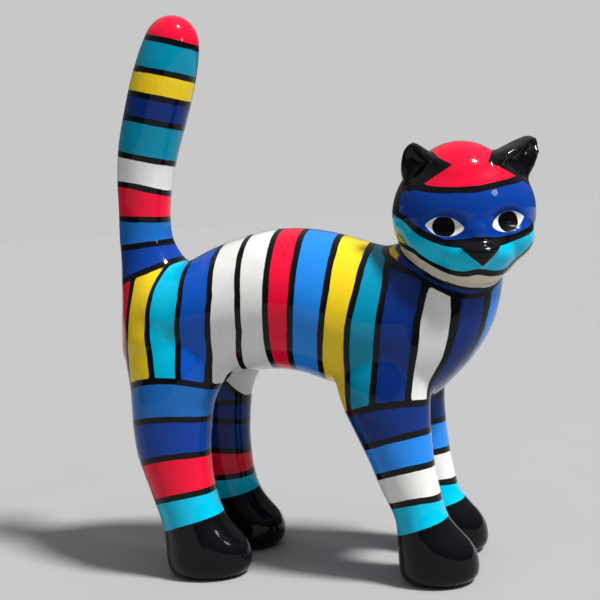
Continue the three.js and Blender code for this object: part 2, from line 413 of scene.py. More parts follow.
@dataclass(frozen=True)
class Ear:
    """A bowed cone that faces out to its side, drawn in level rings, with a hollow in its front."""

    side: Side
    # Rows of height, distance out along the facing, distance across it, and a half size for each.
    rows: Table
    hollow_across: float = 0.0
    hollow_share: float = 1.0
    facing: float = math.radians(30)
    wall: float = 7.0
    tip_wall: float = 0.8
    hollow_depth: float = 0.9
    least_width: float = 3.0
    sides: int = 36
    steps: int = 3
    # The black ends at this share of the ear's half sizes, and under a sloping root line.
    black_share: float = 1.15
    share_worth: float = 35.0
    least_half: float = 9.0
    root_height: float = 76.0
    root_slope: float = 0.56

    def cone(self, name: str, inner: bool) -> Shape:
        """Draws the ear's outer cone, or the smaller one that hollows it.

        Args:
            name: The new object's name.
            inner: Whether this is the smaller cone.

        Returns:
            The cone, in the head's frame.
        """
        wall = self.wall if inner else 0.0
        share = self.hollow_share if inner else 1.0
        table = smooth_table(self.rows, self.steps)
        low, high = table[0, 0], table[-1, 0]
        squeeze = (high - self.tip_wall * wall - low) / (high - low)
        rings = []
        for up, out, across, thick, broad in table:
            ahead = out + (thick if inner else 0.0)
            aside = self.side.value * (across + (self.hollow_across if inner else 0.0))
            centre = Vector((ahead, aside, low + (up - low) * squeeze))
            depth = thick * (self.hollow_depth if inner else 1.0)
            width = max(broad - wall, self.least_width) * share
            rings.append(Ring(centre * SHARE, 0.0, depth * SHARE, width * SHARE))
        shape = draw_rings(name, rings, self.sides)
        shape.rotation_euler.z = self.side.value * self.facing
        apply_place(shape)
        return shape

    def build(self) -> Shape:
        """Draws the ear and hollows it.

        Returns:
            The ear, in the head's frame.
        """
        name = f"ear_{self.side.name.lower()}"
        shape = self.cone(name, inner=False)
        hollow = self.cone(name + "_hollow", inner=True)
        apply_modifier(shape, "BOOLEAN", operation="DIFFERENCE", object=hollow, solver="EXACT")
        bpy.data.objects.remove(hollow)
        return shape

    def outside(self, points: np.ndarray) -> np.ndarray:
        """How far points of the head's frame lie outside the ear's black.

        Args:
            points: Points of the head's frame.

        Returns:
            The distances out of the ear or under its root, less than zero on the ear.
        """
        angle = self.side.value * self.facing
        x = points[:, 0] * math.cos(angle) + points[:, 1] * math.sin(angle)
        y = points[:, 1] * math.cos(angle) - points[:, 0] * math.sin(angle)
        y *= self.side.value
        up = points[:, 2]
        rows = np.array(self.rows).T
        out, across, thick, broad = (np.interp(up, rows[0], row) for row in rows[1:])
        thick, broad = np.maximum(thick, self.least_half), np.maximum(broad, self.least_half)
        share = np.hypot((x - out) / thick, (y - across) / broad)
        root = self.root_height - self.root_slope * y
        return np.maximum((share - self.black_share) * self.share_worth, root - up)


RIGHT_EAR: Table = (
    (30, 46, 30, 38, 50), (55, 48, 30, 36, 52), (76, 53, 31, 34, 53.5),
    (97, 57, 51, 26, 29.5), (111, 59, 57, 17, 18.7), (118, 60, 58.5, 11, 11.5),
    (123, 60, 59, 5, 5), (124.5, 60, 59, 1.5, 1.5),
)
LEFT_EAR: Table = (
    (30, 48, 34, 34, 44), (55, 51, 42, 35, 50), (70, 55, 44, 36, 56), (83, 58, 52, 37, 53),
    (97, 60, 64, 37, 44), (107, 60, 79, 29, 31), (114, 60, 88, 20, 22),
    (118, 60, 92, 12, 14), (121, 60, 94, 5, 6), (122.5, 60, 94, 1.5, 1.5),
)
# Rows of height, distance out of the face, and two half sizes.
NOSE: Table = (
    (-83, 92, 5, 3), (-80, 93, 10, 7), (-74, 93, 15, 14), (-66, 93, 19.5, 22),
    (-58, 93, 21, 30), (-53, 92, 20, 33), (-49, 90, 18, 33), (-45, 87, 14, 29),
)


def in_head_frame(points: np.ndarray) -> np.ndarray:
    """Turns pose points into the head's own frame: out of the face, to its left, and up.

    Args:
        points: Pose points.

    Returns:
        The same points in the head's frame.
    """
    x, y, z = (points - HEAD_PLACE).T
    cosine, sine = math.cos(-HEAD_TURN), math.sin(-HEAD_TURN)
    return np.column_stack([x * cosine - y * sine, x * sine + y * cosine, z])


@dataclass
class Head:
    """The turned head: skull, brow, cheeks, muzzle, chin, nose and ears."""

    forms: tuple[Oval, ...] = (
        Oval((-3, 0, 2), (98, 119, 112)),
        Oval((4, -6, 46), (78, 82, 76)),
        Oval((34, 0, 26), (56, 86, 44)),
        Oval((62, 0, -28), (38, 30, 34)),
        Oval((58, 0, -60), (46, 64, 37)),
        Oval((38, 0, -84), (50, 58, 33)),
    )
    cheek: Oval = Oval((18, 50, -36), (66, 58, 52))
    jowl: Oval = Oval((24, 28, -62), (54, 50, 46))
    socket: Oval = Oval((102, 71, -11), (33, 54, 25))
    ears: tuple[Ear, ...] = (
        Ear(Side.RIGHT, RIGHT_EAR),
        Ear(Side.LEFT, LEFT_EAR, hollow_across=4, hollow_share=0.92),
    )
    skull_voxel: float = 0.005
    skull_rounds: int = 6
    ear_voxel: float = 0.004
    ear_rounds: int = 2
    nose_sides: int = 32
    nose_steps: int = 2

    def nose(self) -> Shape:
        """Draws a three-cornered nose pad, broad above and pointed below.

        Returns:
            The pad, in the head's frame.
        """
        rings = [
            Ring(Vector((out, 0, up)) * SHARE, 0.0, depth * SHARE, width * SHARE)
            for up, out, depth, width in smooth_table(NOSE, self.nose_steps)
        ]
        return draw_rings("nose", rings, self.nose_sides)

    def build(self) -> Shape:
        """Fuses the head's forms, carves the eye sockets, and turns the head into place.

        Returns:
            The head, in place.
        """
        parts = [form.build(f"head_form_{n}") for n, form in enumerate(self.forms)]
        parts += [self.cheek.build(f"cheek_{side.name}", side.value) for side in Side]
        parts += [self.jowl.build(f"jowl_{side.name}", side.value) for side in Side]
        skull = fuse("head", parts, self.skull_voxel, self.skull_rounds)
        for side in Side:
            socket = self.socket.build("socket", side.value)
            apply_modifier(skull, "BOOLEAN", operation="DIFFERENCE", object=socket, solver="EXACT")
            bpy.data.objects.remove(socket)
        parts = [skull, *(ear.build() for ear in self.ears)]
        skull = fuse("head", parts, self.ear_voxel, self.ear_rounds)
        skull = join("head", [skull, self.nose()])
        skull.rotation_euler.z = HEAD_TURN
        skull.location = Vector(to_metres(HEAD_PLACE))
        apply_place(skull)
        return skull

    def reach(self, points: np.ndarray) -> np.ndarray:
        """How far points lie from the nearest form of the head.

        Args:
            points: Points of the head's frame.

        Returns:
            One share for each point: 1 on the skin, more outside.
        """
        shares = [form.reach(points) for form in self.forms]
        for form in (self.cheek, self.jowl):
            shares += [form.reach(points, side.value) for side in Side]
        return np.min(shares, axis=0)


@dataclass(frozen=True)
class Line:
    """A painted black line round a limb: a point of the middle line, its slope and its sag."""

    x: float
    z: float
    slope: float
    sag: float = 0.0
    reach: float = 60.0
    bend: Table = ()
    # Half the length over which the slope is measured.
    stride: float = 3.0

    def level(self, x: np.ndarray) -> np.ndarray:
        """Finds the line's height.

        Args:
            x: Places along the body.

        Returns:
            One height for each place.
        """
        if self.bend:
            rows = np.array(self.bend)
            return np.interp(x, rows[:, 0], rows[:, 1])
        ahead = x - self.x
        return self.z + self.slope * ahead - self.sag * (ahead / self.reach) ** 2

    def above(self, points: np.ndarray, drop: float = 0.0) -> np.ndarray:
        """How far points lie above the line.

        Args:
            points: Pose points.
            drop: How much lower the line lies than its rows say.

        Returns:
            One distance for each point, less than zero below the line.
        """
        x = points[:, 0]
        rise = self.level(x + self.stride) - self.level(x - self.stride)
        slope = rise / (2 * self.stride)
        return (points[:, 2] - self.level(x) + drop) / np.hypot(1, slope)


FAR_HIP: Table = (
    (-320, 338), (-204, 338), (-191, 327), (-184, 315), (-176, 302), (-168, 292),
    (-150, 286),
)


@dataclass(frozen=True)
class Banding:
    """The lines down a limb from its top, and the paints between them."""

    lines: tuple[Line, ...]
    paints: tuple[Paint, ...]
    line_width: float = 10.8

    def paint(self, points: np.ndarray, drop: float = 0.0) -> tuple[np.ndarray, np.ndarray]:
        """Paints points by the band that they lie in.

        Args:
            points: Pose points.
            drop: How much lower the lines lie than their rows say.

        Returns:
            Each point's paint number, and its distance out of the nearest black line.
        """
        above = np.column_stack([line.above(points, drop) for line in self.lines])
        band = (above < 0).sum(axis=1)
        numbers = np.array([PAINT_NUMBERS[paint] for paint in self.paints])
        return numbers[band], np.abs(above).min(axis=1) - self.line_width / 2


PAINT_NUMBERS = {paint: number for number, paint in enumerate(Paint)}
PAINT_COLOURS = np.array([paint.value for paint in Paint])


@dataclass
class Canvas:
    """The paint number of every point, and its distance out of the nearest black line."""

    numbers: np.ndarray
    ink: np.ndarray

    def lay(
        self, outside: np.ndarray, numbers: np.ndarray, ink: np.ndarray, half: float | None = None
    ) -> None:
        """Lays a zone over what is painted, with a black line round it where it has one.

        Args:
            outside: How far each point lies outside the zone.
            numbers: The paint numbers in the zone.
            ink: The distances out of the black in the zone.
            half: The half width of the line round the zone.
        """
        inside = outside < 0
        self.numbers[inside] = numbers[inside]
        self.ink[inside] = ink[inside]
        if half is not None:
            self.ink = np.minimum(self.ink, np.abs(outside) - half)


@dataclass
class Face:
    """The red crown, the blue mask, the eyes, the cheeks, the chin and the black nose."""

    # Rows of degrees round the head and a height on it.
    brow_line: Table = (
        (-180, 36), (-120, 54), (-80, 60), (-56, 50), (-38, 44), (-18, 41), (0, 40),
        (18, 43), (36, 47), (56, 52), (80, 60), (120, 54), (180, 36),
    )
    mask_line: Table = (
        (-180, 30), (-110, 26), (-73, 6), (-60, -13), (-49, -25), (-38, -35), (-28, -41),
        (0, -43), (20, -44), (32, -41), (45, -35), (59, -27), (75, -8), (110, 26),
        (180, 30),
    )
    mouth_line: Table = (
        (-180, -40), (-110, -36), (-68, -46), (-57, -60), (-48, -75), (-34, -86),
        (-18, -91), (-2, -89), (14, -94), (36, -92), (50, -76), (68, -48), (110, -36),
        (180, -40),
    )
    cheek_line: Table = (
        (-180, 4), (-110, 0), (-88, -14), (-72, -40), (-60, -70), (0, -120), (60, -70),
        (72, -40), (88, -14), (110, 0), (180, 4),
    )
    jaw_line: Table = (
        (-180, -28), (-119, -32), (-98, -42), (-87, -58), (-69, -82), (-55, -97),
        (-40, -107), (-18, -116), (8, -120), (38, -119), (74, -106), (98, -60), (119, -32),
        (180, -28),
    )
    # The least length of a degree round the head.
    least_arc: float = 0.3
    # The jaw's line ends the face only below this height, and the paints stop inside it.
    jaw_top: float = -29.0
    inset: float = 1.6
    # Half widths of the lines.
    brow_half: float = 5.0
    mask_half: float = 5.4
    mouth_half: float = 4.6
    bridge_extra: float = 2.4
    bridge_degrees: float = 24.0
    bridge_fade: float = 1.35
    temple_degrees: float = 87.0
    temple_half: float = 18.5
    temple_worth: float = 1.95
    # Rows of height and half width for the black of the nose, with its top, foot and root.
    nose_black: Table = ((-81, 0), (-77, 4), (-66, 17), (-54, 29), (-48, 32))
    nose_top: float = -44.0
    nose_foot: float = -82.0
    nose_root: float = 60.0
    nose_flank: float = 0.8
    nose_rim: float = 4.0
    eye_middle: Row = (50.5, -14.5)
    eye_half: Row = (29.5, 15.7)
    eye_tilt: float = math.radians(11)
    pupil: float = 17.3
    pupil_out: float = 1.0

    def above(self, rows: Table, degrees: np.ndarray, points: np.ndarray) -> np.ndarray:
        """How far points of the head's frame lie above a line round it.

        Args:
            rows: The line's degrees and heights.
            degrees: Each point's own degrees round the head.
            points: Points of the head's frame.

        Returns:
            The distance across the line, less than zero below it.
        """
        table = smooth_table(rows, CURVE_STEPS)
        level = np.interp(degrees, table[:, 0], table[:, 1])
        ahead = np.interp(degrees + 1, table[:, 0], table[:, 1])
        arc = np.hypot(points[:, 0], points[:, 1]) * math.radians(1)
        slope = (ahead - level) / np.maximum(arc, self.least_arc)
        return (points[:, 2] - level) / np.hypot(1, slope)

    def paint(self, points: np.ndarray) -> tuple[np.ndarray, np.ndarray]:
        """Paints the crown, the mask, the cheeks and the chin.

        Args:
            points: Points of the head's frame.

        Returns:
            Each point's paint number, and its distance out of the nearest black line.
        """
        degrees = np.degrees(np.arctan2(points[:, 1], points[:, 0]))
        brow = self.above(self.brow_line, degrees, points)
        mask = self.above(self.mask_line, degrees, points)
        mouth = self.above(self.mouth_line, degrees, points)
        cheek = self.above(self.cheek_line, degrees, points)
        # Below the mouth the chin takes the darker creamy white, a painted shade under the jaw.
        numbers = np.full(len(points), PAINT_NUMBERS[Paint.CREAM])
        numbers[mouth > 0] = PAINT_NUMBERS[Paint.YELLOW]
        numbers[(mouth > 0) & (cheek > 0)] = PAINT_NUMBERS[Paint.CYAN]
        numbers[mask > 0] = PAINT_NUMBERS[Paint.ROYAL]
        numbers[brow > 0] = PAINT_NUMBERS[Paint.RED]
        bridge = np.clip(self.bridge_fade - np.abs(degrees) / self.bridge_degrees, 0, 1)
        ink = np.abs(brow) - self.brow_half
        ink = np.minimum(ink, np.abs(mask) - self.mask_half - self.bridge_extra * bridge)
        ink = np.minimum(ink, np.abs(mouth) - self.mouth_half)
        temple = np.abs(np.abs(degrees) - self.temple_degrees) * self.temple_worth
        temple = np.where((brow < 0) & (mask > 0), temple - self.temple_half, FAR)
        ink = np.minimum(ink, temple)
        return numbers, np.minimum(ink, self.nose_reach(points))

    def nose_reach(self, points: np.ndarray) -> np.ndarray:
        """How far points lie outside the black nose.

        Args:
            points: Points of the head's frame.

        Returns:
            One distance for each point, less than zero on the nose.
        """
        out, side, up = points.T
        half = np.interp(up, *np.array(self.nose_black).T)
        ends = np.maximum(up - self.nose_top, self.nose_foot - up)
        edge = np.maximum((np.abs(side) - half) * self.nose_flank, ends)
        return np.where(out > self.nose_root, edge, FAR)

    def eyes(self, points: np.ndarray) -> tuple[np.ndarray, np.ndarray]:
        """How far points of the head's frame lie outside the almonds and the pupils.

        Args:
            points: Points of the head's frame.

        Returns:
            The distances out of the nearer almond and out of its pupil.
        """
        long, tall = self.eye_half
        radius = (long**2 + tall**2) / (2 * tall)
        lift = radius - tall
        side = np.abs(points[:, 1]) - self.eye_middle[0]
        up = points[:, 2] - self.eye_middle[1]
        cosine, sine = math.cos(self.eye_tilt), math.sin(self.eye_tilt)
        across = side * cosine + up * sine
        over = up * cosine - side * sine
        almond = np.maximum(np.hypot(across, over + lift), np.hypot(across, over - lift)) - radius
        pupil = np.hypot(side - self.pupil_out, up) - self.pupil
        behind = points[:, 0] < 0
        return np.where(behind, FAR, almond), np.where(behind, FAR, pupil)

    def lay(self, points: np.ndarray, head: np.ndarray, canvas: Canvas) -> dict[str, np.ndarray]:
        """Lays the face on the head, above the line along the jaw.

        Args:
            points: Points of the head's frame.
            head: How far each point lies outside the head.
            canvas: What is painted so far.

        Returns:
            The distances out of the jaw, the cheeks, the almonds and the pupils.
        """
        degrees = np.degrees(np.arctan2(points[:, 1], points[:, 0]))
        under = -self.above(self.jaw_line, degrees, points)
        jaw = np.maximum(head, np.where(points[:, 2] < self.jaw_top, under, -FAR))
        jaw = np.minimum(jaw, self.nose_reach(points) - self.nose_rim)
        canvas.lay(jaw + self.inset, *self.paint(points))
        inside = jaw < -self.inset
        cheek = self.above(self.cheek_line, degrees, points)
        mouth = self.above(self.mouth_line, degrees, points)
        almond, pupil = self.eyes(points)
        return {
            "jaw": jaw,
            "cheek": np.where(inside & (mouth > 0), cheek, FAR),
            "almond": np.where(inside, almond, FAR),
            "pupil": pupil,
        }


@dataclass
class Stripes:
    """Where each paint and each black line lies on the cat."""

    face: Face = field(default_factory=Face)
    body_levels: Row = (320, 380, 440, 500, 560)
    # Rows of a line's place along the body at each of the levels.
    body_lines: Table = (
        (-376, -376, -376, -376, -376), (-323, -326, -330, -334, -340),
        (-262, -271, -279, -278, -285), (-224, -224, -222, -213, -216),
        (-184, -174, -164, -155, -158), (-140, -124, -107, -103, -105),
        (-78, -68, -59, -53, -50), (-44, -30, -16, -8, -3), (12, 25, 38, 50, 57),
        (71, 73, 83, 100, 111), (115, 123, 133, 145, 146), (172, 183, 194, 217, 232),
        (212, 232, 241, 249, 255), (290, 282, 282, 286, 288),
    )
    body_paints: tuple[Paint, ...] = (
        Paint.NAVY, Paint.RED, Paint.YELLOW, Paint.CYAN, Paint.BLUE, Paint.WHITE, Paint.WHITE,
        # The shoulder stripe's cyan is darkened, a painted shade for the head's shadow on it.
        Paint.RED, Paint.SKY, Paint.YELLOW, Paint.TEAL, Paint.NAVY, Paint.WHITE, Paint.NAVY,
        Paint.SKY,
    )
    # Low on the left thigh the line of this number lies this much further back.
    thigh_line: int = 4
    thigh_shift: float = 22.0
    thigh_top: float = 350.0
    thigh_fade: float = 30.0
    line_width: float = 10.8
    shoulder_axis: float = 150.0
    rump_axis: float = -240.0
    turn_radius: float = 108.0

    tail: Banding = Banding(
        lines=(
            Line(-220, 947, -0.32),
            Line(-240, 895, -0.29),
            Line(-255, 853, -0.29),
            Line(-268, 812, -0.29),
            Line(-288, 749, -0.28),
            Line(-300, 699, -0.30, 3, 40),
            Line(-307, 642, -0.10),
            Line(-307, 595, 0.06),
            Line(-298, 548, 0.32),
        ),
        # The tail's cyan rings take the darkened cyan, a painted shade on the tail.
        paints=(
            Paint.RED, Paint.TEAL, Paint.YELLOW, Paint.NAVY, Paint.TEAL, Paint.WHITE, Paint.RED,
            Paint.STEEL, Paint.ROYAL, Paint.ROYAL,
        ),
    )
    near_hind: Banding = Banding(
        lines=(
            Line(-250, 360, -0.05, 15, 76),
            Line(-255, 293, 0.0, 11, 72),
            Line(-249, 226, 0.07, 9, 60),
            Line(-240, 155, 0.15, 5, 48),
            Line(-228, 100, 0.26, 5, 48),
        ),
        paints=(Paint.SKY, Paint.STEEL, Paint.ROYAL, Paint.RED, Paint.CYAN, Paint.BLACK),
    )
    far_hind: Banding = Banding(
        lines=(
            Line(0, 0, 0, bend=FAR_HIP),
            Line(-215, 292, -0.15),
            Line(-205, 254, -0.25),
            Line(-205, 195, -0.20),
            Line(-200, 146, 0.0),
            Line(-200, 104, 0.15),
        ),
        # The band under the hip line is a sky band painted navy, a painted shade for the deep
        # shadow on this leg.
        paints=(
            Paint.NAVY, Paint.NAVY, Paint.NAVY, Paint.NAVY, Paint.RED, Paint.CYAN, Paint.BLACK,
        ),
    )
    front: Banding = Banding(
        lines=(
            Line(130, 307, 0.12, 8, 60),
            Line(150, 253, 0.20, 5, 50),
            Line(158, 200, 0.19, 6, 45),
            Line(170, 147, 0.13, 7, 40),
            Line(180, 96, 0.33, 4, 40),
        ),
        paints=(Paint.NAVY, Paint.NAVY, Paint.SKY, Paint.WHITE, Paint.CYAN, Paint.BLACK),
    )
    far_drop: float = 14.0
    tail_front: float = -190.0
    tail_curl: float = 600.0

    # Rows of degrees round the neck and a height on it.
    collar_line: Table = (
        (-180, 574), (-110, 562), (-95, 552), (-79, 538), (-68, 526), (-50, 511),
        (-37, 499), (-25, 489), (-15, 481), (0, 475), (11, 474), (25, 478), (45, 489),
        (70, 511), (90, 536), (110, 556), (180, 574),
    )
    neck_axis: float = 243.0
    collar_half: float = 4.4
    wedge_degrees: float = 76.0
    wedge_height: float = 12.0
    # A zone ends at a share of its form's reach, and a whole share is worth a distance.
    neck_share: float = 1.12
    neck_worth: float = 85.0
    head_share: float = 1.22
    head_worth: float = 90.0

    def along_body(self, points: np.ndarray) -> np.ndarray:
        """Measures along the body, round the chest and the rump as the skin runs.

        Args:
            points: Pose points.

        Returns:
            One length for each point.
        """
        x, y = points[:, 0], np.abs(points[:, 1])
        quarter = math.pi / 2
        ahead = x - self.shoulder_axis
        behind = self.rump_axis - x
        round_chest = self.shoulder_axis + self.turn_radius * (quarter - np.arctan2(y, ahead))
        round_rump = self.rump_axis - self.turn_radius * (quarter - np.arctan2(y, behind))
        return np.where(ahead > 0, round_chest, np.where(behind > 0, round_rump, x))

    def paint_body(self, points: np.ndarray) -> tuple[np.ndarray, np.ndarray]:
        """Paints the body's upright stripes.

        Args:
            points: Pose points.

        Returns:
            Each point's paint number, and its distance out of the nearest black line.
        """
        place = self.along_body(points)
        lines = np.column_stack(
            [np.interp(points[:, 2], self.body_levels, row) for row in self.body_lines]
        )
        low = np.clip((self.thigh_top - points[:, 2]) / self.thigh_fade, 0, 1)
        low *= points[:, 1] > 0
        lines[:, self.thigh_line] -= self.thigh_shift * low
        stripe = (place[:, None] > lines).sum(axis=1)
        numbers = np.array([PAINT_NUMBERS[paint] for paint in self.body_paints])
        ink = np.abs(place[:, None] - lines).min(axis=1) - self.line_width / 2
        return numbers[stripe], ink

    def paint_legs(self, cat: "Cat", points: np.ndarray, canvas: Canvas) -> None:
        """Lays the bands and the boots of the four legs.

        Args:
            cat: The cat, for its legs.
            points: Pose points.
            canvas: What is painted so far.
        """
        for limb in cat.legs:
            banding, drop = self.leg_banding(limb)
            band, ink = banding.paint(points, drop)
            top = banding.lines[0].above(points, drop)
            own_end = np.sign(points[:, 0]) == np.sign(limb.stations[0][0])
            own_side = points[:, 1] * limb.side > 0
            outside = np.where(own_end & own_side, top, FAR)
            boot = banding.lines[-1].above(points, drop)
            canvas.lay(outside, band, np.minimum(ink, boot), banding.line_width / 2)

    def paint_tail(self, points: np.ndarray, canvas: Canvas) -> None:
        """Lays the rings of the tail.

        Args:
            points: Pose points.
            canvas: What is painted so far.
        """
        band, ink = self.tail.paint(points)
        curl = np.clip(points[:, 2] - self.tail_curl, 0, None)
        ahead = points[:, 0] - self.tail_front - curl
        outside = np.maximum(-self.tail.lines[-1].above(points), ahead)
        canvas.lay(outside, band, ink, self.tail.line_width / 2)

    def paint_neck(self, cat: "Cat", points: np.ndarray, head: np.ndarray, canvas: Canvas) -> None:
        """Lays the neck above the collar, with a yellow wedge on each side.

        Args:
            cat: The cat, for the reach of its chest.
            points: Pose points.
            head: How far each point lies outside the head.
            canvas: What is painted so far.
        """
        neck = (cat.chest.reach(points) - self.neck_share) * self.neck_worth
        degrees = np.degrees(np.arctan2(points[:, 1], points[:, 0] - self.neck_axis) - HEAD_TURN)
        degrees = (degrees + 180) % 360 - 180
        collar = smooth_table(self.collar_line, CURVE_STEPS)
        over = points[:, 2] - np.interp(degrees, collar[:, 0], collar[:, 1])
        outside = np.maximum(-over, np.minimum(neck, head))
        wedge = (np.abs(degrees) > self.wedge_degrees) & (over < self.wedge_height)
        numbers = np.where(wedge, PAINT_NUMBERS[Paint.YELLOW], PAINT_NUMBERS[Paint.NAVY])
        canvas.lay(outside, numbers, np.full(len(points), FAR), self.collar_half)

    def paint(self, cat: "Cat", points: np.ndarray) -> dict[str, np.ndarray]:
        """Paints every point of the cat.

        Args:
            cat: The cat, for the reach of its limbs.
            points: Pose points.

        Returns:
            The paint numbers, and the distances out of the black, the face and the eyes.
        """
        canvas = Canvas(*self.paint_body(points))
        self.paint_legs(cat, points, canvas)
        self.paint_tail(points, canvas)
        head_points = in_head_frame(points)
        head = (cat.head.reach(head_points) - self.head_share) * self.head_worth
        self.paint_neck(cat, points, head, canvas)
        distances = self.face.lay(head_points, head, canvas)
        for ear in cat.head.ears:
            canvas.ink = np.minimum(canvas.ink, ear.outside(head_points))
        return {"numbers": canvas.numbers, "ink": canvas.ink, **distances}

    def leg_banding(self, limb: Limb) -> tuple[Banding, float]:
        """Chooses the banding of one leg.

        Args:
            limb: The leg.

        Returns:
            Its banding, and how much lower that lies than its rows say.
        """
        left = limb.side == Side.LEFT.value
        if limb.stations is FRONT_LEG:
            return self.front, self.far_drop if left else 0.0
        return (self.far_hind if left else self.near_hind), 0.0


@dataclass
class Graph:
    """A material's nodes, and the steps that a finish is made of."""

    tree: Tree

    def span(
        self,
        value: Socket,
        low: float,
        high: float,
        start: float = 0.0,
        end: float = 1.0,
        kind: str = "LINEAR",
    ) -> Socket:
        """Turns one range of a value into another.

        Args:
            value: The value.
            low: The result at the start.
            high: The result at the end.
            start: The value where the range starts.
            end: The value where the range ends.
            kind: How the result runs between them.

        Returns:
            The result.
        """
        node = self.tree.nodes.new("ShaderNodeMapRange")
        node.interpolation_type = kind
        ends = {"From Min": start, "From Max": end, "To Min": low, "To Max": high}
        for name, number in ends.items():
            node.inputs[name].default_value = number
        self.tree.links.new(value, node.inputs["Value"])
        return node.outputs["Result"]

    def noise(self, place: Socket, scale: float, detail: float) -> Socket:
        """Adds a noise.

        Args:
            place: The object's own coordinates.
            scale: How fine the noise is.
            detail: How many finer layers it has.

        Returns:
            The noise.
        """
        node = self.tree.nodes.new("ShaderNodeTexNoise")
        node.inputs["Scale"].default_value = scale
        node.inputs["Detail"].default_value = detail
        self.tree.links.new(place, node.inputs["Vector"])
        return node.outputs["Fac"]

    def field(self, name: str) -> Socket:
        """Adds a reader of one of the mesh's stored distances.

        Args:
            name: The stored distance's name.

        Returns:
            The distance.
        """
        node = self.tree.nodes.new("ShaderNodeAttribute")
        node.attribute_name = name
        return node.outputs["Fac"]

    def maths(self, operation: str, first: Socket, second: Socket | float) -> Socket:
        """Adds a sum of a socket with another socket or with a number.

        Args:
            operation: The sum's kind.
            first: The first value.
            second: The second value.

        Returns:
            The result.
        """
        node = self.tree.nodes.new("ShaderNodeMath")
        node.operation = operation
        self.tree.links.new(first, node.inputs[0])
        if isinstance(second, Socket):
            self.tree.links.new(second, node.inputs[1])
        else:
            node.inputs[1].default_value = second
        return node.outputs[0]

    def mask(self, distance: Socket, wobble: Socket, amount: float, soft: float) -> Socket:
        """Turns a distance into a mask with a slightly unsteady edge.

        Args:
            distance: The distance, less than zero inside.
            wobble: The noise that moves the edge.
            amount: How far the edge moves.
            soft: Half the width over which it fades.

        Returns:
            A mask that is 1 inside.
        """
        moved = self.maths("MULTIPLY", wobble, 2 * amount)
        moved = self.maths("ADD", moved, distance)
        ends = (amount + soft, amount - soft)
        return self.span(moved, 0.0, 1.0, *ends, "SMOOTHSTEP")

    def over(self, under: Socket, mask: Socket, colour: Row) -> Socket:
        """Lays one paint over the colour below it.

        Args:
            under: The colour below.
            mask: 1 where the paint covers it.
            colour: The paint's red, green and blue.

        Returns:
            The mixed colour.
        """
        mix = self.tree.nodes.new("ShaderNodeMix")
        mix.data_type = "RGBA"
        sockets = [s for s in mix.inputs if s.type == "RGBA"]
        sockets[1].default_value = (*colour, 1)
        self.tree.links.new(under, sockets[0])
        self.tree.links.new(mask, mix.inputs["Factor"])
        return next(s for s in mix.outputs if s.type == "RGBA")

    def bump(self, height: Socket, distance: float, under: Socket | None) -> Socket:
        """Adds a bump, over another one where there is one.

        Args:
            height: The relief, from 0 to 1.
            distance: Its height in metres.
            under: The bump below.

        Returns:
            The bent normal.
        """
        node = self.tree.nodes.new("ShaderNodeBump")
        node.inputs["Distance"].default_value = distance
        self.tree.links.new(height, node.inputs["Height"])
        if under is not None:
            self.tree.links.new(under, node.inputs["Normal"])
        return node.outputs["Normal"]


